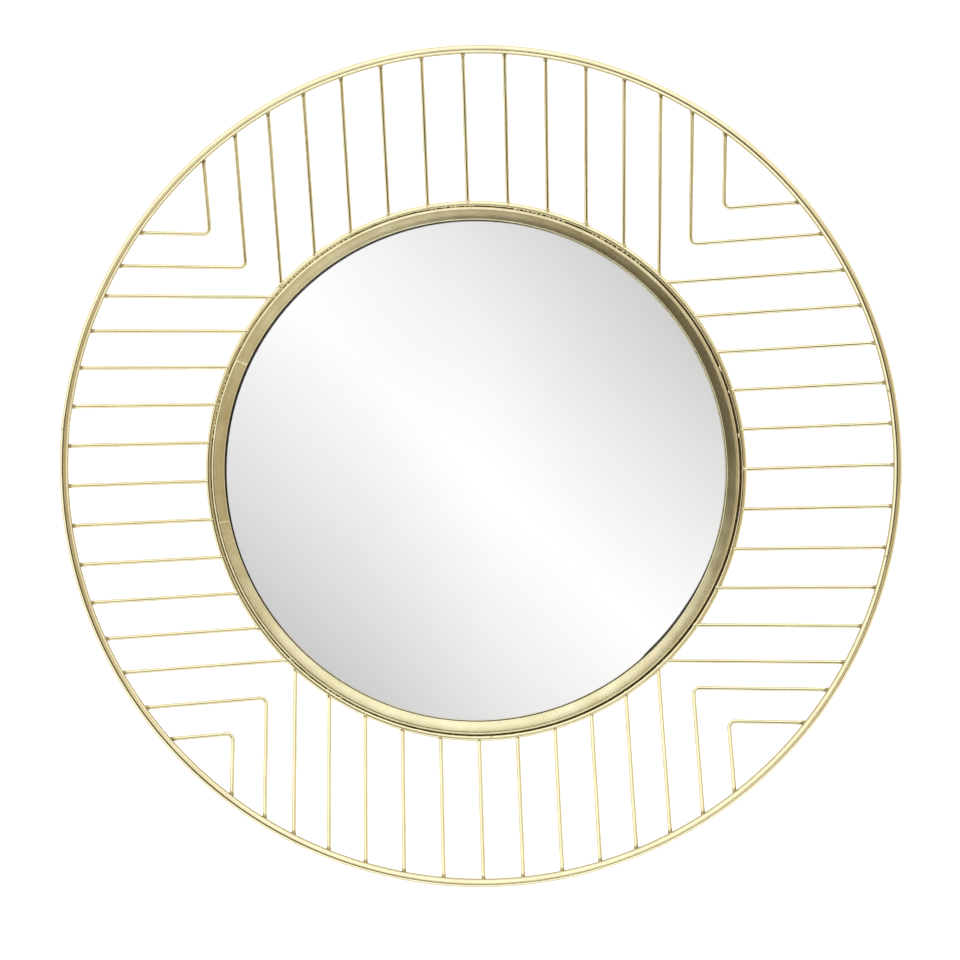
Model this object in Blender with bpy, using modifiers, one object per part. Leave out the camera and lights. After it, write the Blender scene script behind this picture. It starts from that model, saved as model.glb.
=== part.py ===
"""A round wall mirror: a framed glass held in the middle of a dished rim of welded wire.

Metres, +Z up, the glass faces -Y and the wall is the plane Y = 0. The origin is on the hanger's
back face, at the web of metal that the nail bears on. Run it with blender --background --python
part.py, or from the text editor.
"""

import math
from collections import namedtuple

import bmesh
import bpy
from mathutils import Matrix, Quaternion, Vector

# Driving dimensions
GAP = 0.0003  # between pieces that touch

GLASS_RADIUS = 0.250
GLASS_THICKNESS = 0.004
BOARD_THICKNESS = 0.0055
HANGER_THICKNESS = 0.0015

BAND_SHEET = 0.0015  # the frame is rolled from sheet of this thickness
BAND_LIP = 0.0032  # how far the frame's face laps over the glass
BAND_WIDTH = 0.0136  # across the face
BAND_RISE = 0.0034  # the face slopes, and its outer edge stands this far in front of its lip
BAND_EDGE_RADIUS = 0.003  # the face rolls over into the side wall

INNER_TUBE_RADIUS = 0.0032
INNER_RING_SETBACK = 0.002  # behind the front of the frame's lip
OUTER_TUBE_RADIUS = 0.004
RIM_WIDTH = 0.1321  # from the inner ring's centreline to the outer ring's
DISH_DEPTH = 0.0494  # how far the outer ring stands in front of the inner ring
OUTER_RING_SHIFT = Vector((0.0046, 0.0039))  # it is welded a little off the mirror's centre

WIRE_RADIUS = 0.002
WIRES_PER_SIDE = 11
FAN_END_GAP = 0.0104  # between the end wires of neighbouring sides, along the inner ring
FAN_STEP = math.radians(6.76)  # the wires stand at even steps of an arc, so they close up outwards

CORNER_WIRES = 2  # nested in each corner
CORNER_STANDOFF = 0.0366  # from the inner ring out to the first bend, along the diagonal
CORNER_PITCH = 0.0434  # from one bend to the next
CORNER_BEND_RADIUS = 0.006

HANG_HEIGHT = 0.200  # above the mirror's centre
HANGER_WIDTH = 0.060
HANGER_ABOVE = 0.005  # metal above the point that bears on the nail
HANGER_BELOW = 0.019
HANGER_CORNER = 0.003
SLOT_RADIUS = 0.0022
SLOT_LENGTH = 0.006
SLOT_WEB = 0.003  # from the bearing point down to the slot
NAIL_HEAD_RADIUS = 0.0045
POCKET_RADIUS = 0.006  # the hollow in the board behind the keyhole, where the nail's head goes
POCKET_DEPTH = 0.004
SCREW_HOLE_RADIUS = 0.00175
SCREW_HOLE_SPACING = 0.044

# How finely round shapes are drawn
RING_SEGMENTS = 96
TUBE_SIDES = 8
EDGE_STEPS = 4
BEND_STEPS = 5
HOLE_SIDES = 16

# Each side's comb of wires as it was welded: its shift clockwise from the even place, and its
# spread against the even one
Side = namedtuple("Side", "name heading shift spread")
SIDES = (
    Side("top", 90, 0.0, 1.02),
    Side("right", 0, 0.0068, 1.02),
    Side("bottom", -90, 0.0061, 0.98),
    Side("left", 180, -0.0012, 0.98),
)

# Each corner's pair of bent wires, and how far it was welded from its even place
Corner = namedtuple("Corner", "name across up shift")
CORNERS = (
    Corner("upper_left", -1, 1, Vector((-0.006, -0.0065))),
    Corner("upper_right", 1, 1, Vector((0.0035, 0.002))),
    Corner("lower_left", -1, -1, Vector((0.0, -0.002))),
    Corner("lower_right", 1, -1, Vector((-0.0075, -0.0065))),
)

# Distances out from the wall
BOARD_BACK = HANGER_THICKNESS + GAP
GLASS_BACK = BOARD_BACK + BOARD_THICKNESS + GAP
FACE_BACK = GLASS_BACK + GLASS_THICKNESS + GAP
FACE_FRONT = FACE_BACK + BAND_SHEET
INNER_RING_DEPTH = FACE_FRONT - INNER_RING_SETBACK
OUTER_RING_DEPTH = INNER_RING_DEPTH + DISH_DEPTH

# Radii from the mirror's centre
LIP_RADIUS = GLASS_RADIUS - BAND_LIP
BAND_RADIUS = LIP_RADIUS + BAND_WIDTH
BOARD_RADIUS = BAND_RADIUS - BAND_SHEET - GAP
INNER_RING_RADIUS = BAND_RADIUS + GAP + INNER_TUBE_RADIUS
OUTER_RING_RADIUS = INNER_RING_RADIUS + RIM_WIDTH


def make_material(name, colour, roughness, metallic):
    material = bpy.data.materials.new(name)
    material.use_nodes = True
    shader = material.node_tree.nodes["Principled BSDF"]
    shader.inputs["Base Color"].default_value = (*colour, 1.0)
    shader.inputs["Roughness"].default_value = roughness
    shader.inputs["Metallic"].default_value = metallic
    return material


def make_collection(name):
    collection = bpy.data.collections.new(name)
    bpy.context.scene.collection.children.link(collection)
    return collection


def make_axes():
    """The mirror's own axes: X across, Y up and Z out into the room, from its centre on the wall."""
    axes = bpy.data.objects.new("mirror_axes", None)
    axes.location.z = -HANG_HEIGHT
    axes.rotation_euler.x = math.radians(90)
    bpy.context.scene.collection.objects.link(axes)
    return axes


def place(obj, name, collection, axes):
    """Name an object, move it to its collection and hang it on the mirror's axes."""
    obj.name = name
    obj.data.name = name
    for other in list(obj.users_collection):
        other.objects.unlink(obj)
    collection.objects.link(obj)
    obj.parent = axes
    return obj


def finish(obj, material):
    obj.data.materials.append(material)
    obj.data.shade_smooth()
    obj.data.set_sharp_from_angle(angle=math.radians(40))


def object_from(bm, name):
    mesh = bpy.data.meshes.new(name)
    bm.to_mesh(mesh)
    bm.free()
    return bpy.data.objects.new(name, mesh)


def cylinder(name, radius, length, sides):
    bm = bmesh.new()
    bmesh.ops.create_cone(
        bm, cap_ends=True, segments=sides, radius1=radius, radius2=radius, depth=length
    )
    return object_from(bm, name)


def slot_bar(name, radius, run, length):
    """A round bar whose lower half is drawn down by run, for cutting a slot."""
    bar = cylinder(name, radius, length, HOLE_SIDES)
    bar.data.transform(Matrix.Rotation(math.pi / HOLE_SIDES, 4, "Z"))
    for vertex in bar.data.vertices:
        if vertex.co.y < 0:
            vertex.co.y -= run
    return bar


def cut(obj, cutter):
    modifier = obj.modifiers.new("cut_" + cutter.name, "BOOLEAN")
    modifier.operation = "DIFFERENCE"
    modifier.solver = "EXACT"
    modifier.object = cutter


def hide_cutter(cutter):
    cutter.hide_render = True
    cutter.display_type = "WIRE"
    return cutter


def make_ring(radius, tube_radius, centre, depth):
    bpy.ops.mesh.primitive_torus_add(
        major_radius=radius,
        minor_radius=tube_radius,
        major_segments=RING_SEGMENTS,
        minor_segments=TUBE_SIDES,
    )
    ring = bpy.context.object
    ring.location = (centre.x, centre.y, depth)
    return ring


def make_disc(radius, back, thickness):
    disc = cylinder("disc", radius, thickness, RING_SEGMENTS)
    disc.location.z = back + thickness / 2
    return disc


def band_profile():
    """The frame's section as (radius, depth): round its outside from the lip, then back inside."""
    edge_front = FACE_FRONT + BAND_RISE
    arc_centre = Vector((BAND_RADIUS - BAND_EDGE_RADIUS, edge_front - BAND_EDGE_RADIUS))
    slope = math.atan2(BAND_RISE, BAND_WIDTH - BAND_EDGE_RADIUS)
    edge = []
    for step in range(EDGE_STEPS + 1):
        turn = (math.radians(90) + slope) * (1 - step / EDGE_STEPS)
        edge.append(arc_centre + BAND_EDGE_RADIUS * Vector((math.cos(turn), math.sin(turn))))
    wall_inside = BAND_RADIUS - BAND_SHEET
    lip_round = BAND_SHEET / 3
    return [
        Vector((LIP_RADIUS, FACE_FRONT - lip_round)),
        Vector((LIP_RADIUS + lip_round, FACE_FRONT)),
        *edge,
        Vector((BAND_RADIUS, 0.0)),
        Vector((wall_inside, 0.0)),
        Vector((wall_inside, edge_front - BAND_SHEET)),
        Vector((LIP_RADIUS, FACE_BACK)),
    ]


def make_band():
    bm = bmesh.new()
    corners = [bm.verts.new((point.x, 0.0, point.y)) for point in band_profile()]
    for this, following in zip(corners, corners[1:] + corners[:1]):
        bm.edges.new((this, following))
    band = object_from(bm, "band")
    turn = band.modifiers.new("turn", "SCREW")
    turn.axis = "Z"
    turn.angle = math.radians(360)
    turn.steps = RING_SEGMENTS
    turn.render_steps = RING_SEGMENTS
    turn.use_merge_vertices = True
    turn.merge_threshold = 0.00001
    return band


def meet_outer_ring(start, direction):
    """Where a line in the plane of the mirror crosses the outer ring's centreline."""
    offset = start - OUTER_RING_SHIFT
    along = offset.dot(direction)
    reach = -along + math.sqrt(along**2 - offset.length_squared + OUTER_RING_RADIUS**2)
    crossing = start + reach * direction
    return Vector((crossing.x, crossing.y, OUTER_RING_DEPTH))


def fan_offsets(side):
    """How far each wire of a side stands clockwise from the mirror's centre line."""
    last = (WIRES_PER_SIDE - 1) / 2
    half_angle = math.radians(45) - FAN_END_GAP / 2 / INNER_RING_RADIUS
    half_width = INNER_RING_RADIUS * math.sin(half_angle)
    for number in range(WIRES_PER_SIDE):
        share = math.sin((number - last) * FAN_STEP) / math.sin(last * FAN_STEP)
        yield side.shift + side.spread * half_width * share


def make_straight_wire(side, offset):
    heading = math.radians(side.heading)
    outwards = Vector((math.cos(heading), math.sin(heading)))
    clockwise = Vector((outwards.y, -outwards.x))
    foot = clockwise * offset + outwards * math.sqrt(INNER_RING_RADIUS**2 - offset**2)
    inner = Vector((foot.x, foot.y, INNER_RING_DEPTH))
    outer = meet_outer_ring(foot, outwards)
    run = outer - inner
    wire = cylinder("wire", WIRE_RADIUS, run.length, TUBE_SIDES)
    wire.location = (inner + outer) / 2
    wire.rotation_euler = run.to_track_quat("Z", "Y").to_euler()
    return wire


def corner_bend(corner, number):
    """Where a corner wire bends: on the cone between the two rings."""
    radius = INNER_RING_RADIUS + CORNER_STANDOFF + number * CORNER_PITCH
    place_in_plane = Vector((corner.across, corner.up)).normalized() * radius + corner.shift
    rise = (place_in_plane.length - INNER_RING_RADIUS) / RIM_WIDTH
    return Vector((*place_in_plane, INNER_RING_DEPTH + rise * DISH_DEPTH))


def rounded(start, bend, end, radius):
    """The points of a run from start to end that turns at bend on an arc of the given radius."""
    back = (start - bend).normalized()
    onward = (end - bend).normalized()
    half = back.angle(onward) / 2
    middle = bend + (back + onward).normalized() * radius / math.sin(half)
    first = bend + back * radius / math.tan(half) - middle
    last = bend + onward * radius / math.tan(half) - middle
    axis = first.cross(last)
    sweep = first.angle(last)
    turns = [Quaternion(axis, sweep * step / BEND_STEPS) for step in range(BEND_STEPS + 1)]
    return [start, *(middle + turn @ first for turn in turns), end]


def make_corner_wire(corner, number):
    bend = corner_bend(corner, number)
    upright_end = meet_outer_ring(bend.xy, Vector((0, corner.up)))
    level_end = meet_outer_ring(bend.xy, Vector((corner.across, 0)))
    points = rounded(upright_end, bend, level_end, CORNER_BEND_RADIUS)
    curve = bpy.data.curves.new("corner_wire", "CURVE")
    curve.dimensions = "3D"
    curve.bevel_depth = WIRE_RADIUS
    curve.bevel_resolution = 2
    curve.use_fill_caps = True
    spline = curve.splines.new("POLY")
    spline.points.add(len(points) - 1)
    for target, point in zip(spline.points, points):
        target.co = (*point, 1.0)
    return solid_from(curve)


def solid_from(curve):
    """A curve's tube as one closed mesh, so that it can be cut."""
    tube = bpy.data.objects.new("tube", curve)
    bpy.context.scene.collection.objects.link(tube)
    depsgraph = bpy.context.evaluated_depsgraph_get()
    bm = bmesh.new()
    bm.from_mesh(bpy.data.meshes.new_from_object(tube.evaluated_get(depsgraph)))
    bmesh.ops.remove_doubles(bm, verts=bm.verts, dist=WIRE_RADIUS / 100)
    bmesh.ops.recalc_face_normals(bm, faces=bm.faces)
    bpy.data.objects.remove(tube)
    return object_from(bm, "corner_wire")


def make_hanger():
    """The keyhole plate, without its holes."""
    height = HANGER_ABOVE + HANGER_BELOW
    bpy.ops.mesh.primitive_cube_add(size=1, scale=(HANGER_WIDTH, height, HANGER_THICKNESS))
    plate = bpy.context.object
    bpy.ops.object.transform_apply(location=False, rotation=False, scale=True)
    bm = bmesh.new()
    bm.from_mesh(plate.data)
    upright = [edge for edge in bm.edges if edge.verts[0].co.z * edge.verts[1].co.z < 0]
    bmesh.ops.bevel(
        bm, geom=upright, offset=HANGER_CORNER, segments=EDGE_STEPS, affect="EDGES", profile=0.5
    )
    bm.to_mesh(plate.data)
    bm.free()
    middle = HANG_HEIGHT + (HANGER_ABOVE - HANGER_BELOW) / 2
    plate.location = (0, middle, HANGER_THICKNESS / 2)
    return plate


def keyhole_top():
    """The height of the round upper end of the keyhole's slot."""
    return HANG_HEIGHT - SLOT_WEB - SLOT_RADIUS


def hanger_holes():
    """The cutters for the slot, the round hole that passes the nail's head and the two screws."""
    length = 4 * HANGER_THICKNESS
    slot = slot_bar("slot", SLOT_RADIUS, SLOT_LENGTH, length)
    slot.location = (0, keyhole_top(), HANGER_THICKNESS / 2)
    head = cylinder("nail_head_hole", NAIL_HEAD_RADIUS, length, HOLE_SIDES)
    head.location = (0, keyhole_top() - SLOT_LENGTH, HANGER_THICKNESS / 2)
    holes = [slot, head]
    middle = HANG_HEIGHT + (HANGER_ABOVE - HANGER_BELOW) / 2
    for across in (-1, 1):
        screw = cylinder("screw_hole", SCREW_HOLE_RADIUS, length, HOLE_SIDES)
        screw.location = (across * SCREW_HOLE_SPACING / 2, middle, HANGER_THICKNESS / 2)
        holes.append(screw)
    return holes


def board_pocket():
    """The cutter for the hollow that lets the nail's head travel up the slot."""
    pocket = slot_bar("pocket", POCKET_RADIUS, SLOT_LENGTH, 2 * POCKET_DEPTH)
    pocket.location = (0, keyhole_top(), BOARD_BACK)
    return pocket


def main():
    for obj in list(bpy.data.objects):
        bpy.data.objects.remove(obj)
    parts = make_collection("wall_mirror")
    cutters = make_collection("cutters")
    axes = make_axes()
    gold = make_material("gold_paint", (0.70, 0.60, 0.36), 0.35, 0.85)
    silver = make_material("mirror_silver", (0.90, 0.91, 0.91), 0.02, 1.0)
    fibreboard = make_material("fibreboard", (0.28, 0.19, 0.11), 0.85, 0.0)
    zinc = make_material("zinc_plate", (0.55, 0.56, 0.57), 0.40, 1.0)
    centre = Vector((0.0, 0.0))

    glass = place(make_disc(GLASS_RADIUS, GLASS_BACK, GLASS_THICKNESS), "mirror_glass", parts, axes)
    finish(glass, silver)
    board = place(make_disc(BOARD_RADIUS, BOARD_BACK, BOARD_THICKNESS), "back_board", parts, axes)
    pocket = board_pocket()
    cut(board, hide_cutter(place(pocket, pocket.name, cutters, axes)))
    finish(board, fibreboard)
    finish(place(make_band(), "frame_band", parts, axes), gold)

    hanger = place(make_hanger(), "hanger_plate", parts, axes)
    for hole in hanger_holes():
        cut(hanger, hide_cutter(place(hole, hole.name, cutters, axes)))
    finish(hanger, zinc)

    clearances = {}
    for name, radius, tube, middle, depth in (
        ("inner_ring", INNER_RING_RADIUS, INNER_TUBE_RADIUS, centre, INNER_RING_DEPTH),
        ("outer_ring", OUTER_RING_RADIUS, OUTER_TUBE_RADIUS, OUTER_RING_SHIFT, OUTER_RING_DEPTH),
    ):
        finish(place(make_ring(radius, tube, middle, depth), name, parts, axes), gold)
        clearance = make_ring(radius, tube + GAP, middle, depth)
        clearances[name] = hide_cutter(place(clearance, name + "_clearance", cutters, axes))

    for side in SIDES:
        for number, offset in enumerate(fan_offsets(side), start=1):
            wire = make_straight_wire(side, offset)
            place(wire, f"wire_{side.name}_{number:02d}", parts, axes)
            cut(wire, clearances["inner_ring"])
            cut(wire, clearances["outer_ring"])
            finish(wire, gold)

    for corner in CORNERS:
        for number in range(CORNER_WIRES):
            wire = make_corner_wire(corner, number)
            place(wire, f"corner_wire_{corner.name}_{number + 1}", parts, axes)
            cut(wire, clearances["outer_ring"])
            finish(wire, gold)


main()
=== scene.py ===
"""The looks of the round wall mirror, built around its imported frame.

Metres, +Z up, the glass faces -Y and the wall is the plane Y = 0. Every size and place comes from
the boxes of the frame's nodes and the named values below.
"""

import math
import random
from collections import namedtuple

import bmesh
import bpy
from mathutils import Matrix, Vector, noise


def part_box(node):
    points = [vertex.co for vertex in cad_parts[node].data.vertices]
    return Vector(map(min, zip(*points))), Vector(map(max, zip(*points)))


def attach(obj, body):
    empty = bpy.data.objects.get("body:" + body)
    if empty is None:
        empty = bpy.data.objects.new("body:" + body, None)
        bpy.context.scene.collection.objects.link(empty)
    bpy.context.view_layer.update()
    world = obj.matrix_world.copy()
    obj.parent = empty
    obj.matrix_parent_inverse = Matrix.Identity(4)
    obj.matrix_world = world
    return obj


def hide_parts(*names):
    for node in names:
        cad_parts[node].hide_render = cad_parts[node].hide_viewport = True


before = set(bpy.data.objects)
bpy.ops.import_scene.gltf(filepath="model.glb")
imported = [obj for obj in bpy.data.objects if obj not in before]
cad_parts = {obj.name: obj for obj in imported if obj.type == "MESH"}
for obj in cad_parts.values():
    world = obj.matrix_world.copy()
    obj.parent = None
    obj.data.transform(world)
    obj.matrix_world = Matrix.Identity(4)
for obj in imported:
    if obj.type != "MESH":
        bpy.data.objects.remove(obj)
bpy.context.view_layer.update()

# The camera, fitted to the photo: on the mirror's axis, a little rolled
CAMERA_DISTANCE = 1.2845  # in front of the inner ring
CAMERA_LENS = 48.75
CAMERA_SENSOR = 36.0
CAMERA_YAW = math.radians(0.14)
CAMERA_PITCH = math.radians(-0.39)
CAMERA_ROLL = math.radians(-1.89)

# How finely round shapes are drawn
RING_STEPS = 360
GROOVE_STEPS = 4 * RING_STEPS
FLOOR_STEPS = 96
WIRE_SIDES = 20
OUTER_SIDES = 28
INNER_SIDES = 20
GROOVE_SIDES = 8

# Wires
WIRE_RADIUS = 0.002
BEND_RADIUS = 0.006
BEND_STEPS = 10
SHAFT_STEPS = 10
SHAFT_WANDER = 0.00012  # how far a wire strays from a straight line
SHAFT_WAVES = 18.0  # how close together its strays are
SHAFT_SPREAD = 50.0  # each wire strays by its own place in the noise, picked within this
PAINT_LUMP = 0.10  # how uneven a wire's surface is, as a share of its radius
PAINT_WAVES = 420.0
WIRE_CREASE = 50  # an edge sharper than this many degrees isn't smoothed
WELL_INSIDE = 0.1  # from the axis, where the search for a wire's two ends starts
SEED_SPREAD = 90  # the same for the surfaces of wires and lumps

# Welds: half widths along the ring and in depth, and how they swell along the wire
INNER_WELD_WIDTH = 0.0034
INNER_WELD_DEPTH = 0.0029
OUTER_WELD_WIDTH = 0.0023
OUTER_WELD_DEPTH = 0.0026
WELD_VARIATION = 0.14

# The frame's section
BAND_SHEET = 0.0015
BAND_CHAMFER = 0.0012  # inside, behind the rim
EDGE_BREAK = 0.0002  # at the wall
LIP_GAP = 0.0003  # between the lip and the glass
LIP_ROUND = 0.0008
LIP_THICKNESS = 0.0025
LIP_LAP = 0.0023  # how far the lip reaches over the glass
RIM_ROUND = 0.003
FACE_STEPS = 8
ROLL_STEPS = 10
FACE_CROWN = 0.00015  # the face is slightly domed between its lip and its rim
FACE_WAVE = 0.00012  # how uneven the face is
FACE_WAVES = 55.0
FACE_FADE = 0.004  # the unevenness fades out this near the rim
FACE_DEPTH = -0.012  # what lies in front of this is the frame's face
BAND_CREASE = 60

# The frame and the inner ring are a little out of round, and the frame sits off the glass's middle
WARP = 0.0008
WARP_ANGLE = math.radians(138)
BAND_SHIFT = 0.0010
BAND_SHIFT_ANGLE = math.radians(160)
SEAMS = (  # angle and depth of the band's butt seam and of a faint one
    (math.radians(153.3), 0.0006),
    (math.radians(189.3), 0.0001),
)
SEAM_WIDTH = 0.0007
SEAM_STEPS = 5  # on each side of a seam
OUTER_JOINT_ANGLE = math.radians(172.3)  # where the outer ring's two ends meet
OUTER_JOINT_STRAIGHT = math.radians(4.0)  # each end is straight along this much of the circle
OUTER_JOINT_SHARE = 0.4  # and this much of the overshoot is left after welding

Ring = namedtuple("Ring", "centre radius tube")


def ring_of(node):
    """A ring's middle, radius and tube radius from its node's box."""
    low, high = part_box(node)
    tube = (high.y - low.y) / 2
    return Ring((low + high) / 2, (high.x - low.x) / 2 - tube, tube)


INNER = ring_of("inner_ring")
OUTER = ring_of("outer_ring")
AXIS = INNER.centre  # the mirror's middle, level with the inner ring
BAND_LOW, BAND_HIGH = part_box("frame_band")
BAND_RADIUS = (BAND_HIGH.x - BAND_LOW.x) / 2
GLASS_LOW, GLASS_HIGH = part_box("mirror_glass")
GLASS_RADIUS = (GLASS_HIGH.x - GLASS_LOW.x) / 2


def radial(angle):
    """The outward direction at an angle from +X towards +Z."""
    return Vector((math.cos(angle), 0.0, math.sin(angle)))


def angle_from(start, angle):
    """An angle's difference from another, between minus and plus half a turn."""
    return (angle - start + math.pi) % (2 * math.pi) - math.pi


# Meshes

def mesh_object(bm, name, material, crease=None):
    bmesh.ops.recalc_face_normals(bm, faces=bm.faces)
    mesh = bpy.data.meshes.new(name)
    bm.to_mesh(mesh)
    bm.free()
    mesh.shade_smooth()
    if crease is not None:
        mesh.set_sharp_from_angle(angle=math.radians(crease))
    obj = bpy.data.objects.new(name, mesh)
    bpy.context.scene.collection.objects.link(obj)
    mesh.materials.append(material)
    return obj


def dress(obj, slot, *nodes):
    """Hang a piece on the frame, in place of its nodes."""
    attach(obj, "root")
    if nodes:
        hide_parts(*nodes)


def bridge(bm, loops, closed):
    """Quads between neighbouring loops of vertices; closed joins the last loop to the first."""
    pairs = list(zip(loops, loops[1:]))
    if closed:
        pairs.append((loops[-1], loops[0]))
    for one, two in pairs:
        for i in range(len(one)):
            j = (i + 1) % len(one)
            bm.faces.new((one[i], one[j], two[j], two[i]))


def cap(bm, loops):
    """Close both ends of a row of loops."""
    bm.faces.new(list(reversed(loops[0])))
    bm.faces.new(loops[-1])


def rod_loop(bm, centre, outward, radius, sides):
    """One round section of a ring's rod."""
    loop = []
    for side in range(sides):
        turn = 2 * math.pi * side / sides
        offset = outward * math.cos(turn) + Vector((0.0, -math.sin(turn), 0.0))
        loop.append(bm.verts.new(centre + offset * radius))
    return loop


Station = namedtuple("Station", "point width depth")


def sweep(bm, stations, seed):
    """A closed tube through the stations, with elliptical sections that lie across its run."""
    loops = []
    towards_viewer = Vector((0.0, -1.0, 0.0))
    for index, station in enumerate(stations):
        before = stations[max(index - 1, 0)].point
        after = stations[min(index + 1, len(stations) - 1)].point
        along = (after - before).normalized()
        across = along.cross(towards_viewer).normalized()
        out = across.cross(along).normalized()
        loop = []
        for side in range(WIRE_SIDES):
            turn = 2 * math.pi * side / WIRE_SIDES
            wide = across * math.cos(turn) * station.width
            deep = out * math.sin(turn) * station.depth
            offset = wide + deep
            spot = (station.point + offset) * PAINT_WAVES + Vector((seed, 0.0, 0.0))
            uneven = 1.0 + PAINT_LUMP * noise.noise(spot)
            loop.append(bm.verts.new(station.point + offset * uneven))
        loops.append(loop)
    bridge(bm, loops, False)
    cap(bm, loops)


# Wires with their welds

# How a weld swells the wire: (distance from the ring's centre line, share of the full swelling)
INNER_SWELL = (
    (-0.0027, 0.10),
    (-0.0026, 0.38),
    (-0.0022, 0.62),
    (-0.0015, 0.83),
    (-0.0006, 0.96),
    (0.0005, 1.00),
    (0.0015, 0.90),
    (0.0023, 0.66),
    (0.0030, 0.40),
    (0.0038, 0.20),
    (0.0050, 0.07),
    (0.0070, 0.00),
)
OUTER_SWELL = (
    (0.0080, 0.00),
    (0.0066, 0.04),
    (0.0058, 0.13),
    (0.0052, 0.27),
    (0.0047, 0.48),
    (0.0042, 0.76),
    (0.0032, 0.97),
    (0.0010, 1.00),
)


def swollen(point, share, width, depth, past_ring):
    """A station of a weld, which tapers to nothing past the ring and to the wire before it."""
    if past_ring:
        return Station(point, width * share, depth * share)
    return Station(
        point,
        WIRE_RADIUS + (width - WIRE_RADIUS) * share,
        WIRE_RADIUS + (depth - WIRE_RADIUS) * share,
    )


def varied(size, least, most, rng):
    """A weld's size, varied by between least and most times the usual share."""
    return size * (1 + rng.uniform(least, most) * WELD_VARIATION)


def inner_weld(foot, along, rng):
    """The stations of the weld on the inner ring, for a wire that runs along from its foot."""
    width = varied(INNER_WELD_WIDTH, -1, 1, rng)
    depth = varied(INNER_WELD_DEPTH, -0.3, 0.6, rng)
    return [
        swollen(foot + along * reach, share, width, depth, reach < 0)
        for reach, share in INNER_SWELL
    ]


def outer_weld(tip, along, rng):
    """The stations of the weld on the outer ring, for a wire that runs along towards its tip."""
    width = varied(OUTER_WELD_WIDTH, -1, 0.4, rng)
    depth = varied(OUTER_WELD_DEPTH, -1, 1, rng)
    return [
        swollen(tip - along * reach, share, width, depth, False) for reach, share in OUTER_SWELL
    ]


def shaft(start, end, rng):
    """The plain stretch of a wire between two points, straying a little."""
    shift = Vector((rng.random(), rng.random(), rng.random())) * SHAFT_SPREAD
    stations = []
    for step in range(1, SHAFT_STEPS):
        point = start.lerp(end, step / SHAFT_STEPS)
        fade = math.sin(math.pi * step / SHAFT_STEPS)
        stray = noise.noise_vector(shift + point * SHAFT_WAVES) * SHAFT_WANDER * fade
        stations.append(Station(point + stray, WIRE_RADIUS, WIRE_RADIUS))
    return stations


def on_ring(ring, start, direction):
    """Where a line in the mirror's plane crosses a ring's centre line, at the ring's depth."""
    offset = start - ring.centre
    offset.y = 0.0
    along = offset.dot(direction)
    reach = -along + math.sqrt(along**2 - offset.length_squared + ring.radius**2)
    crossing = start + reach * direction
    crossing.y = ring.centre.y
    return crossing


def wire_piece(node, stations, material, rng):
    bm = bmesh.new()
    sweep(bm, stations, rng.random() * SEED_SPREAD)
    wire = mesh_object(bm, node + "_welded", material, WIRE_CREASE)
    dress(wire, "gold_paint", node)


def straight_wire(node, side_direction, material, rng):
    """A wire from ring to ring, which runs towards its side."""
    low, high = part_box(node)
    middle = (low + high) / 2
    on_side = AXIS + side_direction * WELL_INSIDE
    start = Vector((
        middle.x if side_direction.x == 0 else on_side.x,
        AXIS.y,
        middle.z if side_direction.z == 0 else on_side.z,
    ))
    foot = on_ring(INNER, start, side_direction)
    tip = on_ring(OUTER, start, side_direction)
    along = (tip - foot).normalized()
    first, last = inner_weld(foot, along, rng), outer_weld(tip, along, rng)
    stations = first + shaft(first[-1].point, last[0].point, rng) + last
    wire_piece(node, stations, material, rng)


def corner_wire(node, across, up, material, rng):
    """A wire with one bend, both of whose ends are on the outer ring."""
    low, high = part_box(node)
    x = high.x - WIRE_RADIUS if across < 0 else low.x + WIRE_RADIUS
    z = low.z + WIRE_RADIUS if up > 0 else high.z - WIRE_RADIUS
    flat = Vector((x, AXIS.y, z))
    rise = ((flat - AXIS).length - INNER.radius) / (OUTER.radius - INNER.radius)
    bend = Vector((x, AXIS.y + rise * (OUTER.centre.y - INNER.centre.y), z))
    upright = on_ring(OUTER, flat, Vector((0.0, 0.0, up)))
    level = on_ring(OUTER, flat, Vector((across, 0.0, 0.0)))
    back = (upright - bend).normalized()
    onward = (level - bend).normalized()
    half = back.angle(onward) / 2
    middle = bend + (back + onward).normalized() * BEND_RADIUS / math.sin(half)
    first = bend + back * BEND_RADIUS / math.tan(half) - middle
    last = bend + onward * BEND_RADIUS / math.tan(half) - middle
    sweep_angle = first.angle(last)
    axis = first.cross(last).normalized()
    turns = [
        middle + Matrix.Rotation(sweep_angle * step / BEND_STEPS, 3, axis) @ first
        for step in range(BEND_STEPS + 1)
    ]
    one = list(reversed(outer_weld(upright, back, rng)))
    two = outer_weld(level, onward, rng)
    stations = one + shaft(one[-1].point, turns[0], rng)
    stations += [Station(turn, WIRE_RADIUS, WIRE_RADIUS) for turn in turns]
    stations += shaft(turns[-1], two[0].point, rng) + two
    wire_piece(node, stations, material, rng)


# Rings

def around(steps, extra=()):
    """Angles round a ring, with a few more where a detail needs them."""
    angles = [2 * math.pi * step / steps for step in range(steps)]
    return sorted(set(angles + [angle % (2 * math.pi) for angle in extra]))


def joint_bulge(angle):
    """A rolled rod has straight ends, so its joint stands a little outside the ring's circle."""
    off = abs(angle_from(OUTER_JOINT_ANGLE, angle))
    if off >= OUTER_JOINT_STRAIGHT:
        return 0.0
    return OUTER.radius * (1 / math.cos(OUTER_JOINT_STRAIGHT - off) - 1) * OUTER_JOINT_SHARE


def ring_piece(name, node, ring, sides, stray, material):
    """A ring of round rod, whose centre line strays from its circle by angle."""
    bm = bmesh.new()
    loops = []
    for angle in around(RING_STEPS):
        outward = radial(angle)
        centre = ring.centre + outward * (ring.radius + stray(angle))
        loops.append(rod_loop(bm, centre, outward, ring.tube, sides))
    bridge(bm, loops, True)
    dress(mesh_object(bm, name, material), "gold_paint", node)


# The frame band

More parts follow.
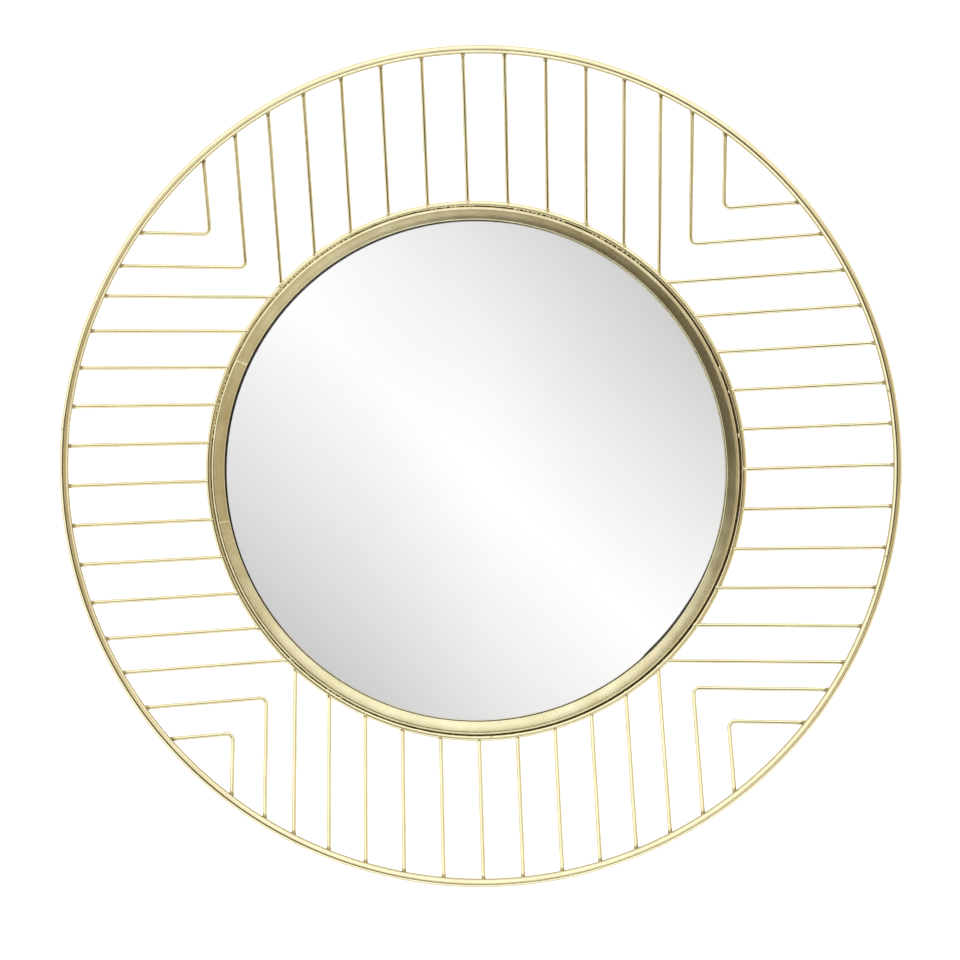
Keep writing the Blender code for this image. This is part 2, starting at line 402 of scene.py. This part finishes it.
def band_section():
    """The band's section as (radius, y) from the lip's back edge, over the face, to the inside."""
    outer, front, wall = BAND_RADIUS, BAND_LOW.y, BAND_HIGH.y
    lip = GLASS_RADIUS - LIP_LAP
    lip_back = GLASS_LOW.y - LIP_GAP
    lip_front = lip_back - LIP_THICKNESS
    slope = math.atan2(lip_front - front, outer - RIM_ROUND - lip)
    points = [(lip + 2 * LIP_ROUND, lip_back)]
    centre = (lip + LIP_ROUND, (lip_back + lip_front) / 2)
    for step in range(ROLL_STEPS + 1):
        turn = math.pi * (0.5 + step / ROLL_STEPS)
        points.append((
            centre[0] + math.cos(turn) * LIP_ROUND,
            centre[1] + math.sin(turn) * LIP_THICKNESS / 2,
        ))
    start = points[-1]
    centre = (outer - RIM_ROUND, front + RIM_ROUND)
    end = (centre[0] - math.sin(slope) * RIM_ROUND, centre[1] - math.cos(slope) * RIM_ROUND)
    for step in range(1, FACE_STEPS):
        share = step / FACE_STEPS
        crown = FACE_CROWN * math.sin(math.pi * share)
        points.append((
            start[0] + (end[0] - start[0]) * share,
            start[1] + (end[1] - start[1]) * share - crown,
        ))
    for step in range(ROLL_STEPS + 1):
        turn = (math.pi / 2 + slope) * (step / ROLL_STEPS - 1)
        points.append((
            centre[0] + math.cos(turn) * RIM_ROUND,
            centre[1] + math.sin(turn) * RIM_ROUND,
        ))
    inside = outer - BAND_SHEET
    return points + [
        (outer, wall - EDGE_BREAK),
        (outer - EDGE_BREAK, wall),
        (inside, wall),
        (inside, front + BAND_SHEET + BAND_CHAMFER),
        (inside - BAND_CHAMFER, front + BAND_SHEET),
    ]


def warp(angle):
    """How far out of round the frame and the inner ring are at an angle."""
    return WARP * math.cos(2 * (angle - WARP_ANGLE))


def band_shift(angle):
    """How far the frame's front lies off the glass's middle at an angle."""
    return BAND_SHIFT * math.cos(angle - BAND_SHIFT_ANGLE)


def seam_dip(angle):
    """How deep the band's seams are at an angle."""
    dip = 0.0
    for seam, depth in SEAMS:
        off = angle_from(seam, angle) * INNER.radius
        dip += depth * math.exp(-((off / SEAM_WIDTH) ** 2))
    return dip


def frame_band(material):
    section = band_section()
    bm = bmesh.new()
    loops = []
    seam_step = SEAM_WIDTH / INNER.radius / 2
    extra = [
        seam + seam_step * step
        for seam, _ in SEAMS for step in range(-SEAM_STEPS, SEAM_STEPS + 1)
    ]
    centre = Vector((AXIS.x, 0.0, AXIS.z))
    for angle in around(RING_STEPS, extra):
        outward = radial(angle)
        stray = warp(angle) + band_shift(angle)
        loop = []
        for radius, y in section:
            share = min(1.0, y / BAND_LOW.y)
            point = centre + outward * (radius + stray * share) + Vector((0.0, y, 0.0))
            if y < FACE_DEPTH:
                wave = noise.noise(point * FACE_WAVES) * FACE_WAVE
                point.y += wave * min(1.0, (BAND_RADIUS - radius) / FACE_FADE)
                point.y += seam_dip(angle)
            loop.append(bm.verts.new(point))
        loops.append(loop)
    bridge(bm, loops, True)
    band = mesh_object(bm, "frame_band_rolled", material, BAND_CREASE)
    dress(band, "gold_paint", "frame_band")


# Painted shade in the groove between the frame and the inner ring: a dark tube along it

GROOVE_TUBE = 0.0010
GROOVE_OFF = 0.0030  # from the ring's centre line, towards the frame
GROOVE_FRONT = 0.0017  # in front of the ring's centre line
GROOVE_SHIFT = 0.7  # how far the groove goes with the frame's shift
GROOVE_LUMP = 0.45  # how uneven the dark tube of painted shade is, as a share of its radius
GROOVE_WAVES = 260.0


def groove_painted_shade(material):
    """A dark, lumpy tube along the bottom of the groove, as painted shade."""
    bm = bmesh.new()
    loops = []
    for angle in around(GROOVE_STEPS):
        outward = radial(angle)
        radius = INNER.radius + warp(angle) - GROOVE_OFF + GROOVE_SHIFT * band_shift(angle)
        centre = INNER.centre + outward * radius + Vector((0.0, -GROOVE_FRONT, 0.0))
        tube = GROOVE_TUBE * (1.0 + GROOVE_LUMP * noise.noise(centre * GROOVE_WAVES))
        loops.append(rod_loop(bm, centre, outward, tube, GROOVE_SIDES))
    bridge(bm, loops, True)
    dress(mesh_object(bm, "groove_painted_shade", material), "gold_paint")


# Weld marks

# Broken stretches of the groove, where specks of gold lie on its painted shade: (from, to) in
# degrees
GROOVE_SPECK_STRETCHES = ((50, 62), (69, 80), (89, 98), (117, 138), (157, 171), (234, 238))
SPECK_PITCH = 0.0048
SPECK_PITCHES = (0.6, 1.5)  # the least and the most, as shares of the pitch
SPECK_OFF = (-0.0031, -0.0026)  # from the ring's centre line
SPECK_HALF_LENGTH = (0.0008, 0.0017)
SPECK_HALF_WIDTH = (0.0006, 0.0010)
SPECK_HALF_HEIGHT = 0.0007
LUMP_UNEVEN = 0.25
LUMP_WAVES = 1.7
IN_GROOVE = -0.002  # a lump further in than this lies in the groove
# Lumps: (degrees, distance from the ring's centre line, half length, half width, half height)
INNER_LUMPS = (
    (-1.3, -0.0010, 0.0020, 0.0009, 0.0010),
    (5.8, -0.0022, 0.0026, 0.0012, 0.0012),
    (15.6, -0.0024, 0.0014, 0.0009, 0.0010),
    (20.9, -0.0024, 0.0030, 0.0010, 0.0010),
    (97.7, 0.0000, 0.0022, 0.0016, 0.0006),
    (134.6, 0.0014, 0.0042, 0.0016, 0.0010),
    (223.4, -0.0020, 0.0016, 0.0011, 0.0010),
    (224.4, -0.0016, 0.0012, 0.0010, 0.0010),
    (271.3, -0.0012, 0.0014, 0.0010, 0.0008),
)
OUTER_LUMPS = (
    (8.7, -0.0030, 0.0020, 0.0014, 0.0010),
    (52.2, 0.0012, 0.0024, 0.0018, 0.0008),
    (144.7, 0.0010, 0.0018, 0.0014, 0.0008),
    (172.9, 0.0012, 0.0030, 0.0020, 0.0009),
    (241.8, 0.0012, 0.0018, 0.0014, 0.0008),
    (345.7, -0.0028, 0.0018, 0.0014, 0.0010),
)


def lump(bm, ring, angle, off, half_length, half_width, half_height):
    """A small rounded lump of weld on a ring's front."""
    outward = radial(angle)
    along = Vector((-math.sin(angle), 0.0, math.cos(angle)))
    lift = math.sqrt(max(ring.tube**2 - off**2, 0.0))
    radius = ring.radius + off
    if ring is INNER:
        radius += warp(angle)
        if off < IN_GROOVE:
            radius += GROOVE_SHIFT * band_shift(angle)
            lift = GROOVE_FRONT + GROOVE_TUBE
    else:  # nothing stands in front of the outer ring
        lift = min(lift, ring.tube - (1.0 + LUMP_UNEVEN) * half_height)
    centre = ring.centre + outward * radius + Vector((0.0, -lift, 0.0))
    made = bmesh.ops.create_icosphere(bm, subdivisions=2, radius=1.0)
    for vert in made["verts"]:
        size = 1.0 + LUMP_UNEVEN * noise.noise(vert.co * LUMP_WAVES + centre * SEED_SPREAD)
        spot = vert.co * size
        vert.co = centre + along * spot.x * half_length + outward * spot.z * half_width
        vert.co.y += spot.y * half_height


def weld_marks(material, rng):
    bm = bmesh.new()
    for degrees, *sizes in INNER_LUMPS:
        lump(bm, INNER, math.radians(degrees), *sizes)
    for degrees, *sizes in OUTER_LUMPS:
        lump(bm, OUTER, math.radians(degrees), *sizes)
    for start, end in GROOVE_SPECK_STRETCHES:
        angle = math.radians(start)
        while angle < math.radians(end):
            half_length = rng.uniform(*SPECK_HALF_LENGTH)
            off = rng.uniform(*SPECK_OFF)
            half_width = rng.uniform(*SPECK_HALF_WIDTH)
            lump(bm, INNER, angle, off, half_length, half_width, SPECK_HALF_HEIGHT)
            angle += rng.uniform(*SPECK_PITCHES) * SPECK_PITCH / INNER.radius
    dress(mesh_object(bm, "weld_marks", material), "gold_paint")


# Glass

SILVER_RADIUS = 0.2472  # the silver stops here, and the rim of the glass beyond it shows the black backing: painted shadow along the lip
LIP_SHADOW_FROM = math.radians(-51)  # painted shadow of the lip: the silver stops earlier at the lower right
LIP_SHADOW_TO = math.radians(-22)
LIP_SHADOW_DEPTH = 0.0014
LIP_SHADOW_START = 12  # how steeply the painted shadow starts and ends
LIP_SHADOW_END = 2.2
COAT_THICKNESS = 0.0001  # also the space between the layers
COAT_BEVEL = 0.00002
PANE_BEVEL = 0.0004
PANE_CREASE = 30


def silver_shadow_cut(angle):
    """How much earlier the silver stops at an angle, for the lip's painted shadow at the lower
    right.
    """
    share = ((angle - LIP_SHADOW_FROM) % (2 * math.pi)) / (LIP_SHADOW_TO - LIP_SHADOW_FROM)
    if share >= 1:
        return 0.0
    return LIP_SHADOW_DEPTH * min(1.0, LIP_SHADOW_START * share, LIP_SHADOW_END * (1 - share))


def disc(name, radius, front, back, bevel, material, loss=lambda angle: 0.0):
    """A flat round plate with a small bevel on both edges."""
    bm = bmesh.new()
    loops = []
    for y, shrink in ((front, bevel), (front + bevel, 0.0), (back - bevel, 0.0), (back, bevel)):
        centre = Vector((AXIS.x, y, AXIS.z))
        loops.append([
            bm.verts.new(centre + radial(angle) * (radius - shrink - loss(angle)))
            for angle in around(RING_STEPS)
        ])
    bridge(bm, loops, False)
    cap(bm, loops)
    return mesh_object(bm, name, material, PANE_CREASE)


def mirror_glass(clear, silver, paint):
    """The pane, its silver coat and the paint behind that, from front to back."""
    back, coat = GLASS_HIGH.y, COAT_THICKNESS
    pieces = (
        disc("glass_pane", GLASS_RADIUS, GLASS_LOW.y, back - 4 * coat, PANE_BEVEL, clear),
        # the silver stops short of the lip, and shorter at the lower right: painted shadow
        disc(
            "silver_coat", SILVER_RADIUS, back - 3 * coat, back - 2 * coat, COAT_BEVEL, silver,
            silver_shadow_cut,
        ),
        disc("backing_paint", GLASS_RADIUS, back - coat, back, COAT_BEVEL, paint),
    )
    for piece in pieces:
        dress(piece, "mirror", "mirror_glass")
    return pieces


# Materials

def new_material(name):
    material = bpy.data.materials.new(name)
    material.use_nodes = True
    return material, material.node_tree, material.node_tree.nodes["Principled BSDF"]


def object_coordinates(tree):
    return tree.nodes.new("ShaderNodeTexCoord").outputs["Object"]


def noise_texture(tree, vector, scale, detail, roughness=0.55):
    node = tree.nodes.new("ShaderNodeTexNoise")
    node.inputs["Scale"].default_value = scale
    node.inputs["Detail"].default_value = detail
    node.inputs["Roughness"].default_value = roughness
    tree.links.new(vector, node.inputs["Vector"])
    return node.outputs["Fac"]


def ramp(tree, fac, stops):
    node = tree.nodes.new("ShaderNodeValToRGB")
    elements = node.color_ramp.elements
    while len(elements) < len(stops):
        elements.new(0.5)
    for element, (position, colour) in zip(elements, stops):
        element.position = position
        element.color = (*colour, 1.0)
    tree.links.new(fac, node.inputs["Fac"])
    return node.outputs["Color"]


def bump(tree, height, strength, distance):
    node = tree.nodes.new("ShaderNodeBump")
    node.inputs["Strength"].default_value = strength
    node.inputs["Distance"].default_value = distance
    tree.links.new(height, node.inputs["Height"])
    return node.outputs["Normal"]


def multiply(tree, one, two, share):
    node = tree.nodes.new("ShaderNodeMix")
    node.data_type = "RGBA"
    node.blend_type = "MULTIPLY"
    node.inputs["Factor"].default_value = share
    tree.links.new(one, node.inputs["A"])
    tree.links.new(two, node.inputs["B"])
    return node.outputs["Result"]


def span(tree, fac, low, high):
    """A share from 0 to 1 turned into a value from low to high."""
    node = tree.nodes.new("ShaderNodeMapRange")
    node.inputs["To Min"].default_value = low
    node.inputs["To Max"].default_value = high
    tree.links.new(fac, node.inputs["Value"])
    return node.outputs["Result"]


def vector_maths(tree, operation, one, two=None):
    node = tree.nodes.new("ShaderNodeVectorMath")
    node.operation = operation
    tree.links.new(one, node.inputs[0])
    if two is not None:
        node.inputs[1].default_value = two
    return node


# Painted shade and highlight by radius, as (radius, tone): the band is lighter at its lip, darker
# over the outer part of its face and lighter on its rim, and the wires are darker near the outer
# ring, with painted shade where they meet it
BAND_PAINTED_LIGHT = (
    (0.2480, (0.96, 0.96, 0.96)),
    (0.2520, (1.00, 1.00, 1.00)),
    (0.2568, (0.84, 0.84, 0.84)),
    (0.2578, (0.84, 0.84, 0.84)),
    (0.2594, (1.00, 1.00, 1.00)),
)
# painted shade on the wires where they meet the outer ring
WIRE_JOINT_SHADE = (
    (0.3886, (1.00, 1.00, 1.00)),
    (0.3904, (0.52, 0.45, 0.33)),
    (0.3916, (0.36, 0.31, 0.21)),
    (0.3926, (1.00, 1.00, 1.00)),
)
Rounds = namedtuple("Rounds", "centre start end tones")


def by_radius(tree, vector, rounds):
    """A tone by the distance from a middle, in the mirror's plane: rings of painted shade and
    highlight.
    """
    offset = vector_maths(tree, "SUBTRACT", vector, rounds.centre)
    flat = vector_maths(tree, "MULTIPLY", offset.outputs["Vector"], (1.0, 0.0, 1.0))
    length = vector_maths(tree, "LENGTH", flat.outputs["Vector"])
    share = tree.nodes.new("ShaderNodeMapRange")
    share.inputs["From Min"].default_value = rounds.start
    share.inputs["From Max"].default_value = rounds.end
    tree.links.new(length.outputs["Value"], share.inputs["Value"])
    reach = rounds.end - rounds.start
    stops = [((radius - rounds.start) / reach, tone) for radius, tone in rounds.tones]
    return ramp(tree, share.outputs["Result"], stops)


def gold(name, tones, roughness, grain_scale, grain, rounds):
    """Champagne gold paint over metal: cloudy tone, uneven gloss and a fine sandy grain, with rings
    of painted shade and highlight laid on by radius.
    """
    material, tree, shader = new_material(name)
    vector = object_coordinates(tree)
    cloud = noise_texture(tree, vector, scale=38.0, detail=5.0)
    fine = noise_texture(tree, vector, grain_scale, detail=3.0)
    colour = ramp(tree, cloud, ((0.30, tones[0]), (0.70, tones[1])))
    # rings of painted shade and highlight by radius, multiplied into the colour
    colour = multiply(tree, colour, by_radius(tree, vector, rounds), 1.0)
    tree.links.new(colour, shader.inputs["Base Color"])
    tree.links.new(span(tree, fine, *roughness), shader.inputs["Roughness"])
    normal = bump(tree, fine, strength=grain, distance=0.0002)
    tree.links.new(normal, shader.inputs["Normal"])
    shader.inputs["Metallic"].default_value = 1.0
    return material


def clear_glass():
    material, tree, shader = new_material("clear_glass")
    shader.inputs["Base Color"].default_value = (1.0, 1.0, 1.0, 1.0)
    shader.inputs["Roughness"].default_value = 0.0
    shader.inputs["IOR"].default_value = 1.5
    shader.inputs["Transmission Weight"].default_value = 1.0
    return material


def silver_coat():
    material, tree, shader = new_material("silver_coat")
    shader.inputs["Base Color"].default_value = (0.97, 0.97, 0.97, 1.0)
    shader.inputs["Roughness"].default_value = 0.0
    shader.inputs["Metallic"].default_value = 1.0
    return material


def dark_paint(name, dark, light):
    """Dull dark paint, a little cloudy: the mirror's backing, and the groove's painted shade."""
    material, tree, shader = new_material(name)
    cloud = noise_texture(tree, object_coordinates(tree), scale=300.0, detail=3.0)
    tree.links.new(ramp(tree, cloud, ((0.35, dark), (0.65, light))), shader.inputs["Base Color"])
    shader.inputs["Roughness"].default_value = 0.6
    shader.inputs["Specular IOR Level"].default_value = 0.25
    return material


def fibreboard():
    material, tree, shader = new_material("fibreboard")
    vector = object_coordinates(tree)
    fibres = noise_texture(tree, vector, scale=900.0, detail=6.0, roughness=0.7)
    blotch = noise_texture(tree, vector, scale=14.0, detail=3.0)
    colour = ramp(tree, fibres, ((0.30, (0.16, 0.095, 0.05)), (0.72, (0.33, 0.22, 0.13))))
    shade = ramp(tree, blotch, ((0.3, (0.7, 0.7, 0.7)), (0.7, (1.0, 1.0, 1.0))))
    tree.links.new(multiply(tree, colour, shade, 0.5), shader.inputs["Base Color"])
    normal = bump(tree, fibres, strength=0.5, distance=0.0003)
    tree.links.new(normal, shader.inputs["Normal"])
    shader.inputs["Roughness"].default_value = 0.85
    return material


def zinc_plate():
    material, tree, shader = new_material("zinc_plate")
    vector = object_coordinates(tree)
    spangle = noise_texture(tree, vector, scale=260.0, detail=2.0)
    scratch = noise_texture(tree, vector, scale=1900.0, detail=2.0)
    colour = ramp(tree, spangle, ((0.35, (0.46, 0.47, 0.49)), (0.65, (0.64, 0.65, 0.66))))
    tree.links.new(colour, shader.inputs["Base Color"])
    tree.links.new(span(tree, scratch, low=0.28, high=0.46), shader.inputs["Roughness"])
    normal = bump(tree, scratch, strength=0.25, distance=0.0001)
    tree.links.new(normal, shader.inputs["Normal"])
    shader.inputs["Metallic"].default_value = 1.0
    return material


# Light

# What the gold reflects, as soft-edged cards over a white room. Places and half sizes are tangents
# of the angle off the mirror's axis, to the right and up; a later card covers an earlier one.
Card = namedtuple("Card", "across up half_width half_height soft tone")
ROOM_TONE = 1.32
WALL_TONE = 0.92  # behind the mirror
WALL_FADE = 0.12  # from ahead of the mirror's plane to behind it
LEAST_AHEAD = 0.05  # keeps the tangents finite beside the mirror
CARDS = (
    Card(1.95, 0.02, 1.30, 1.00, 0.30, 0.60),  # the dimmer right side
    Card(1.00, -0.68, 0.42, 0.28, 0.15, 0.42),
    Card(-0.25, -0.14, 0.85, 0.35, 0.09, 0.18),  # the dark room ahead
    Card(-0.60, 0.00, 0.34, 0.18, 0.08, 0.09),
    Card(0.45, -0.16, 0.30, 0.28, 0.09, 0.46),
    Card(0.12, -0.27, 0.20, 0.16, 0.10, 1.45),
    Card(-0.12, -0.61, 0.62, 0.21, 0.03, 0.03),  # the dark edge of the floor
)
WARM_GREEN = 0.82  # the dim parts of the room are warmer: their green and blue against their red
WARM_BLUE = 0.55
WARM_TONE = 0.50  # as warm as that up to here, and white from the next on
WHITE_TONE = 1.35
FRONT_REACH = 0.28  # straight ahead the room is even
FRONT_SOFT = 0.06
FRONT_TOP_TONE = 0.95
FRONT_LOW_TONE = 1.20
FRONT_STEP = (-0.10, 0.05)  # where the one turns into the other
NEAR_CARDS = (
    Card(-0.24, -0.06, 0.20, 0.18, 0.06, 0.08),
    Card(0.22, 0.02, 0.16, 0.10, 0.06, 0.50),
)

# The sheen that only the glass shows: white along one diagonal, greyer away from it
SHEEN_DISTANCE = 1.80
SHEEN_HALF = 0.25  # the card's half size, as a share of its distance from the camera's image
SHEEN_PEAK = 1.055
SHEEN_FALL = 1.56
SHEEN_BEND = 3.0


class NodeMaths:
    """Short names for the arithmetic nodes of one node tree."""

    def __init__(self, tree):
        self.tree = tree

    def maths(self, operation, one, two=0.0):
        node = self.tree.nodes.new("ShaderNodeMath")
        node.operation = operation
        for value, socket in zip((one, two), node.inputs):
            if isinstance(value, (int, float)):
                socket.default_value = value
            else:
                self.tree.links.new(value, socket)
        return node.outputs["Value"]

    def split(self, vector):
        node = self.tree.nodes.new("ShaderNodeSeparateXYZ")
        self.tree.links.new(vector, node.inputs["Vector"])
        return node.outputs

    def fade(self, value, start, end):
        """Falls smoothly from 1 to 0 as value goes from start to end."""
        node = self.tree.nodes.new("ShaderNodeMapRange")
        node.interpolation_type = "SMOOTHSTEP"
        node.inputs["From Min"].default_value = start
        node.inputs["From Max"].default_value = end
        node.inputs["To Min"].default_value = 1.0
        node.inputs["To Max"].default_value = 0.0
        self.tree.links.new(value, node.inputs["Value"])
        return node.outputs["Result"]

    def cover(self, below, tone, share):
        """One tone laid over another by its share."""
        lift = self.maths("MULTIPLY", self.maths("SUBTRACT", tone, below), share)
        return self.maths("ADD", below, lift)

    def lay_cards(self, tone, across, up, cards):
        for card in cards:
            off_across = self.maths("ABSOLUTE", self.maths("SUBTRACT", across, card.across))
            off_up = self.maths("ABSOLUTE", self.maths("SUBTRACT", up, card.up))
            wide = self.fade(off_across, card.half_width - card.soft, card.half_width + card.soft)
            high = self.fade(off_up, card.half_height - card.soft, card.half_height + card.soft)
            tone = self.cover(tone, card.tone, self.maths("MULTIPLY", wide, high))
        return tone

    def front_tone(self, up):
        """The even part of the room straight ahead, a little lighter below."""
        return self.cover(FRONT_LOW_TONE, FRONT_TOP_TONE, self.fade(up, *FRONT_STEP))

    def tinted(self, tone):
        """A tone's colour: the dimmer, the warmer."""
        warmth = self.fade(tone, WARM_TONE, WHITE_TONE)
        node = self.tree.nodes.new("ShaderNodeCombineXYZ")
        self.tree.links.new(tone, node.inputs["X"])
        for name, share in (("Y", WARM_GREEN), ("Z", WARM_BLUE)):
            part = self.maths("MULTIPLY", tone, self.cover(1.0, share, warmth))
            self.tree.links.new(part, node.inputs[name])
        return node.outputs["Vector"]


def make_room():
    """The room as the world's tone by direction."""
    world = bpy.data.worlds.new("room")
    world.use_nodes = True
    bpy.context.scene.world = world
    tree = world.node_tree
    nodes = NodeMaths(tree)
    x, y, z = nodes.split(tree.nodes.new("ShaderNodeTexCoord").outputs["Generated"])
    ahead = nodes.maths("MAXIMUM", nodes.maths("MULTIPLY", y, -1.0), LEAST_AHEAD)
    across = nodes.maths("DIVIDE", x, ahead)
    up = nodes.maths("DIVIDE", z, ahead)
    tone = nodes.lay_cards(ROOM_TONE, across, up, CARDS)
    tone = nodes.cover(tone, WALL_TONE, nodes.fade(y, WALL_FADE, -WALL_FADE))
    across_squared = nodes.maths("MULTIPLY", across, across)
    up_squared = nodes.maths("MULTIPLY", up, up)
    off = nodes.maths("SQRT", nodes.maths("ADD", across_squared, up_squared))
    front = nodes.fade(off, FRONT_REACH, FRONT_REACH + FRONT_SOFT)
    tone = nodes.cover(tone, nodes.front_tone(up), front)
    tone = nodes.lay_cards(tone, across, up, NEAR_CARDS)
    seen = tree.nodes.new("ShaderNodeLightPath").outputs["Is Camera Ray"]
    tone = nodes.cover(tone, ROOM_TONE, seen)
    tree.links.new(nodes.tinted(tone), tree.nodes["Background"].inputs["Color"])


def make_sheen(glass_pieces):
    """A card far ahead with the glass's sheen, which shows only through the glass."""
    material = bpy.data.materials.new("sheen")
    material.use_nodes = True
    tree = material.node_tree
    tree.nodes.clear()
    nodes = NodeMaths(tree)
    x, y, z = nodes.split(tree.nodes.new("ShaderNodeTexCoord").outputs["Object"])
    distance = SHEEN_DISTANCE + CAMERA_DISTANCE
    slant = nodes.maths("MULTIPLY", nodes.maths("ADD", x, z), math.sqrt(0.5))
    reach = nodes.maths("DIVIDE", nodes.maths("ABSOLUTE", slant), distance)
    fall = nodes.maths("MULTIPLY", reach, SHEEN_FALL)
    bend = nodes.maths("MULTIPLY", nodes.maths("MULTIPLY", reach, reach), SHEEN_BEND)
    tone = nodes.maths("SUBTRACT", SHEEN_PEAK, nodes.maths("ADD", fall, bend))
    emission = tree.nodes.new("ShaderNodeEmission")
    tree.links.new(tone, emission.inputs["Strength"])
    through = tree.nodes.new("ShaderNodeLightPath").outputs["Transmission Depth"]
    both = tree.nodes.new("ShaderNodeMixShader")
    tree.links.new(nodes.maths("GREATER_THAN", through, 0.5), both.inputs["Fac"])
    tree.links.new(tree.nodes.new("ShaderNodeBsdfTransparent").outputs["BSDF"], both.inputs[1])
    tree.links.new(emission.outputs["Emission"], both.inputs[2])
    output = tree.nodes.new("ShaderNodeOutputMaterial")
    tree.links.new(both.outputs["Shader"], output.inputs["Surface"])
    bm = bmesh.new()
    half = distance * SHEEN_HALF
    corners = ((-half, -half), (half, -half), (half, half), (-half, half))
    bm.faces.new([bm.verts.new((across, 0.0, up)) for across, up in corners])
    card = mesh_object(bm, "sheen_card", material)
    card.location = AXIS + Vector((0.0, -SHEEN_DISTANCE, 0.0))
    card.visible_camera = False
    receivers = bpy.data.collections.new("sheen_receivers")
    for piece in glass_pieces:
        receivers.objects.link(piece)
    card.light_linking.receiver_collection = receivers


# Camera and floor

FLOOR_CENTRE = Vector((0.0, 0.9, -1.7))  # behind the mirror, so that the gold doesn't show it
FLOOR_RADIUS = 1.2


def make_camera():
    yaw, pitch, roll = CAMERA_YAW, CAMERA_PITCH, CAMERA_ROLL
    level = Vector((math.sin(yaw), math.cos(yaw), 0.0))
    ahead = level * math.cos(pitch) + Vector((0.0, 0.0, math.sin(pitch)))
    right = Vector((math.cos(yaw), -math.sin(yaw), 0.0))
    up = right.cross(ahead)
    rolled_right = math.cos(roll) * right + math.sin(roll) * up
    rolled_up = math.cos(roll) * up - math.sin(roll) * right
    data = bpy.data.cameras.new("camera")
    data.sensor_width = CAMERA_SENSOR
    data.lens = CAMERA_LENS
    camera = bpy.data.objects.new("camera", data)
    bpy.context.scene.collection.objects.link(camera)
    matrix = Matrix((rolled_right, rolled_up, -ahead)).transposed().to_4x4()
    matrix.translation = AXIS + Vector((0.0, -CAMERA_DISTANCE, 0.0))
    camera.matrix_world = matrix
    bpy.context.scene.camera = camera


def make_floor():
    bm = bmesh.new()
    bm.faces.new([
        bm.verts.new(FLOOR_CENTRE + Vector((math.cos(angle), math.sin(angle), 0.0)) * FLOOR_RADIUS)
        for angle in around(FLOOR_STEPS)
    ])
    material, tree, shader = new_material("pale_floor")
    shader.inputs["Base Color"].default_value = (0.86, 0.86, 0.85, 1.0)
    shader.inputs["Roughness"].default_value = 0.7
    mesh_object(bm, "floor", material)


# The mirror

PALE_GOLD = (0.85, 0.80, 0.54)
WIRE_GOLD = (0.77, 0.71, 0.46)
BAND_GOLD = (0.71, 0.65, 0.40)
# the mirror's black backing paint; where the silver stops short it also stands in as painted shadow
# along the lip
BACKING_BLACK = ((0.004, 0.004, 0.003), (0.012, 0.011, 0.008))
# the groove's painted shade
GROOVE_SHADE_TONES = ((0.022, 0.015, 0.005), (0.085, 0.062, 0.022))
SEED = 7
SIDES = {
    "top": Vector((0.0, 0.0, 1.0)),
    "right": Vector((1.0, 0.0, 0.0)),
    "bottom": Vector((0.0, 0.0, -1.0)),
    "left": Vector((-1.0, 0.0, 0.0)),
}


def make_wires(material, rng):
    for node in sorted(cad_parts):
        kind, *words = node.split("_")
        if kind == "wire":
            straight_wire(node, SIDES[words[0]], material, rng)
        if kind == "corner":
            across = -1 if words[2] == "left" else 1
            up = 1 if words[1] == "upper" else -1
            corner_wire(node, across, up, material, rng)


def main():
    rng = random.Random(SEED)
    noise.seed_set(SEED)  # or noise_vector would differ from run to run
    wire_gold = gold(
        "gold_wire_paint",
        tones=(WIRE_GOLD, PALE_GOLD),
        roughness=(0.10, 0.22),
        grain_scale=900.0,
        grain=0.12,
        # painted shade where the wires meet the outer ring
        rounds=Rounds(OUTER.centre, 0.38, 0.40, WIRE_JOINT_SHADE),
    )
    band_gold = gold(
        "gold_band_paint",
        tones=(BAND_GOLD, PALE_GOLD),
        roughness=(0.14, 0.28),
        grain_scale=1500.0,
        grain=0.40,
        # painted shade and highlight across the band's face
        rounds=Rounds(AXIS, 0.24, 0.27, BAND_PAINTED_LIGHT),
    )
    make_camera()
    make_room()
    make_floor()
    make_wires(wire_gold, rng)
    ring_piece("outer_ring_round", "outer_ring", OUTER, OUTER_SIDES, joint_bulge, wire_gold)
    ring_piece("inner_ring_round", "inner_ring", INNER, INNER_SIDES, warp, wire_gold)
    frame_band(band_gold)
    backing = dark_paint("backing_paint", *BACKING_BLACK)
    make_sheen(mirror_glass(clear_glass(), silver_coat(), backing))
    # painted shade in the groove: a dark tube along it
    groove_painted_shade(dark_paint("groove_shade_paint", *GROOVE_SHADE_TONES))
    weld_marks(wire_gold, rng)
    for node, material in (("back_board", fibreboard()), ("hanger_plate", zinc_plate())):
        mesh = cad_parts[node].data
        mesh.materials.clear()
        mesh.materials.append(material)
    bpy.context.scene.view_settings.view_transform = "Standard"


main()
